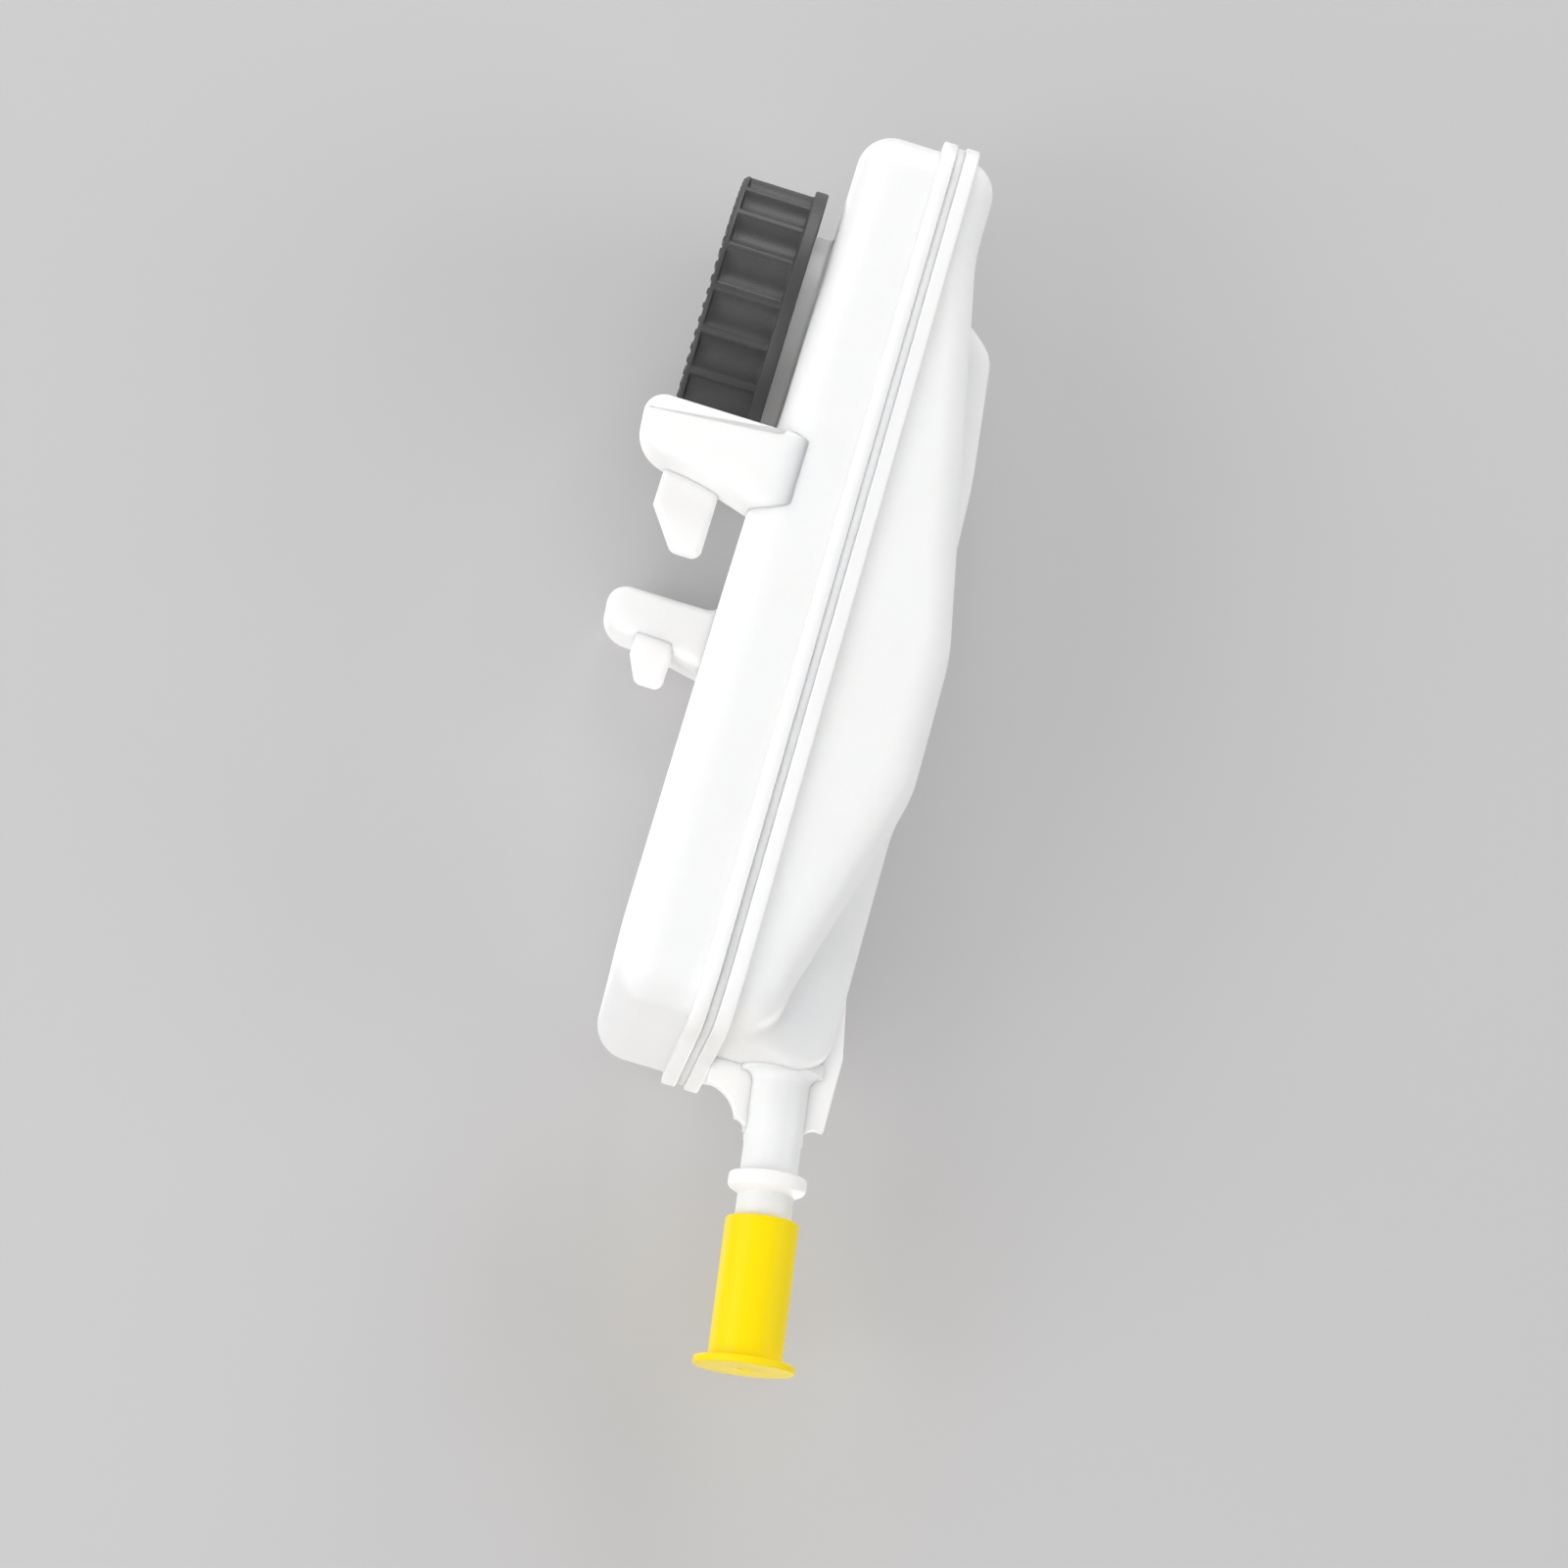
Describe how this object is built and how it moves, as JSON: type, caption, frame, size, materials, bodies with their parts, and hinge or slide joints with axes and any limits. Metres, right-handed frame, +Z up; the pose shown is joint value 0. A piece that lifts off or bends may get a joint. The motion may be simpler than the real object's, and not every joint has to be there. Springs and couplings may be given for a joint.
{
  "type": "brake fluid reservoir",
  "caption": "Remote fluid tank welded from two translucent mouldings, with a fluted screw cap on a filler neck, two hook ears for a bracket and a barbed hose spigot under a slip-on plug.",
  "frame": {"origin": "centre of the filler neck's mouth", "axes": "+Z up out of the neck, X along the tank with the hose spigot towards -X, near side with the taller ear towards -Y"},
  "size_m": [0.2361, 0.0654, 0.0757],
  "materials": {
    "tank_plastic": "natural translucent polypropylene, satin",
    "weld_flash": "rough squeezed-out weld bead",
    "strainer_plastic": "moulded white plastic",
    "cap_plastic": "black moulded plastic, fine grain",
    "seal_rubber": "moulded black rubber",
    "plug_plastic": "yellow soft plastic, semi-gloss"
  },
  "bodies": {
    "tank": {"upper_shell": "tank_plastic", "lower_shell": "tank_plastic", "weld_bead": "weld_flash", "neck_strainer": "strainer_plastic"},
    "seal": {"cap_diaphragm": "seal_rubber"},
    "cap": {"filler_cap": "cap_plastic"},
    "plug": {"outlet_plug": "plug_plastic"}
  },
  "joints": [
    {"name": "cap_lift", "type": "slide", "parent": "tank", "child": "seal", "axis": [0, 0, 1], "range_m": [0, 0.06]},
    {"name": "cap_turn", "type": "hinge", "parent": "seal", "child": "cap", "pos_m": [0, 0, 0], "axis": [0, 0, 1], "range_deg": [0, 540]},
    {"name": "plug_pull", "type": "slide", "parent": "tank", "child": "plug", "axis": [-0.9903, 0, -0.1392], "range_m": [0, 0.04]}
  ]
}
